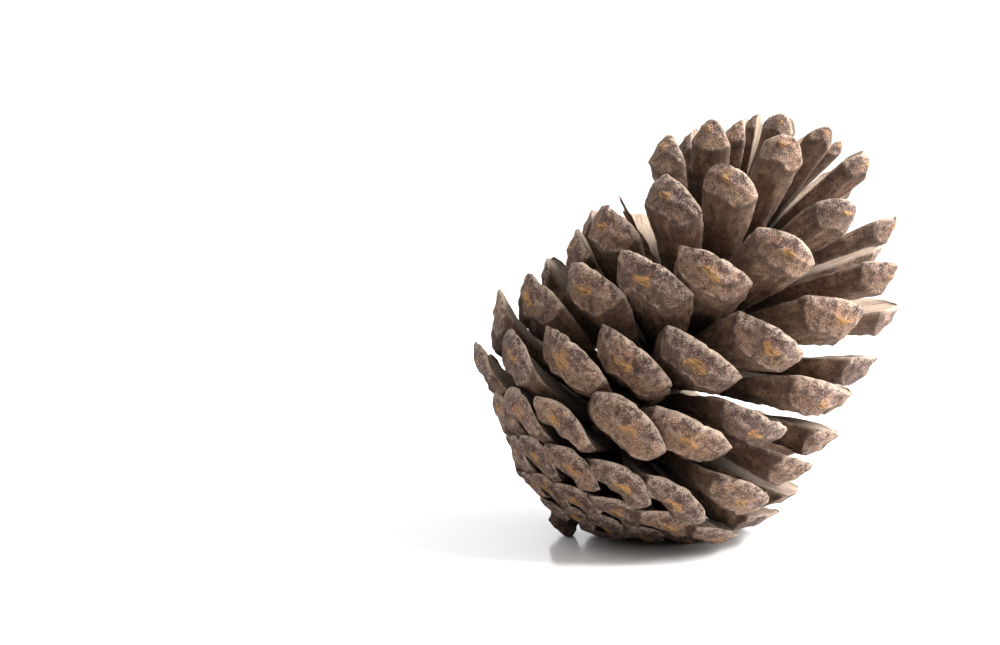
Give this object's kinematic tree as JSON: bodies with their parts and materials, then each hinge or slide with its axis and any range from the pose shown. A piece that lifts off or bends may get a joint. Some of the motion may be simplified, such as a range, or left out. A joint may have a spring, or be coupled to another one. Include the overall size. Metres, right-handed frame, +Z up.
{
  "type": "pine cone",
  "caption": "Dry open pine cone with woody spiral scales, thick rhombic scale ends, a tight basal cup and a short stalk stub, lying at rest on its basal scales.",
  "frame": {"origin": "middle of the bounding box's footprint, at the floor the cone rests on", "axes": "+Z up from the floor; +X the way the cone's axis leans, towards its open tip; -Y the side seen from the front"},
  "size_m": [0.056, 0.0478, 0.0576],
  "materials": {
    "weathered_scale": "weathered grey-brown woody scale, pale inner face, orange-brown boss",
    "woody_core": "dark reddish-brown rough wood"
  },
  "bodies": {
    "root": {"core": "woody_core", "scale_01": "weathered_scale", "scale_02": "weathered_scale", "scale_03": "weathered_scale", "scale_04": "weathered_scale", "scale_05": "weathered_scale", "scale_06": "weathered_scale", "scale_07": "weathered_scale", "scale_08": "weathered_scale", "scale_09": "weathered_scale", "scale_10": "weathered_scale", "scale_11": "weathered_scale", "scale_12": "weathered_scale", "scale_13": "weathered_scale", "scale_14": "weathered_scale", "scale_15": "weathered_scale", "scale_16": "weathered_scale", "scale_17": "weathered_scale", "scale_18": "weathered_scale", "scale_19": "weathered_scale", "scale_20": "weathered_scale", "scale_21": "weathered_scale", "scale_22": "weathered_scale", "scale_23": "weathered_scale", "scale_24": "weathered_scale", "scale_25": "weathered_scale", "scale_26": "weathered_scale", "scale_27": "weathered_scale", "scale_28": "weathered_scale", "scale_29": "weathered_scale", "scale_30": "weathered_scale", "scale_31": "weathered_scale", "scale_32": "weathered_scale", "scale_33": "weathered_scale", "scale_34": "weathered_scale", "scale_35": "weathered_scale", "scale_36": "weathered_scale", "scale_37": "weathered_scale", "scale_38": "weathered_scale", "scale_39": "weathered_scale", "scale_40": "weathered_scale", "scale_41": "weathered_scale", "scale_42": "weathered_scale", "scale_43": "weathered_scale", "scale_44": "weathered_scale", "scale_45": "weathered_scale", "scale_46": "weathered_scale", "scale_47": "weathered_scale", "scale_48": "weathered_scale", "scale_49": "weathered_scale", "scale_50": "weathered_scale", "scale_51": "weathered_scale", "scale_52": "weathered_scale", "scale_53": "weathered_scale", "scale_54": "weathered_scale", "scale_55": "weathered_scale", "scale_56": "weathered_scale", "scale_57": "weathered_scale", "scale_58": "weathered_scale"}
  },
  "joints": []
}
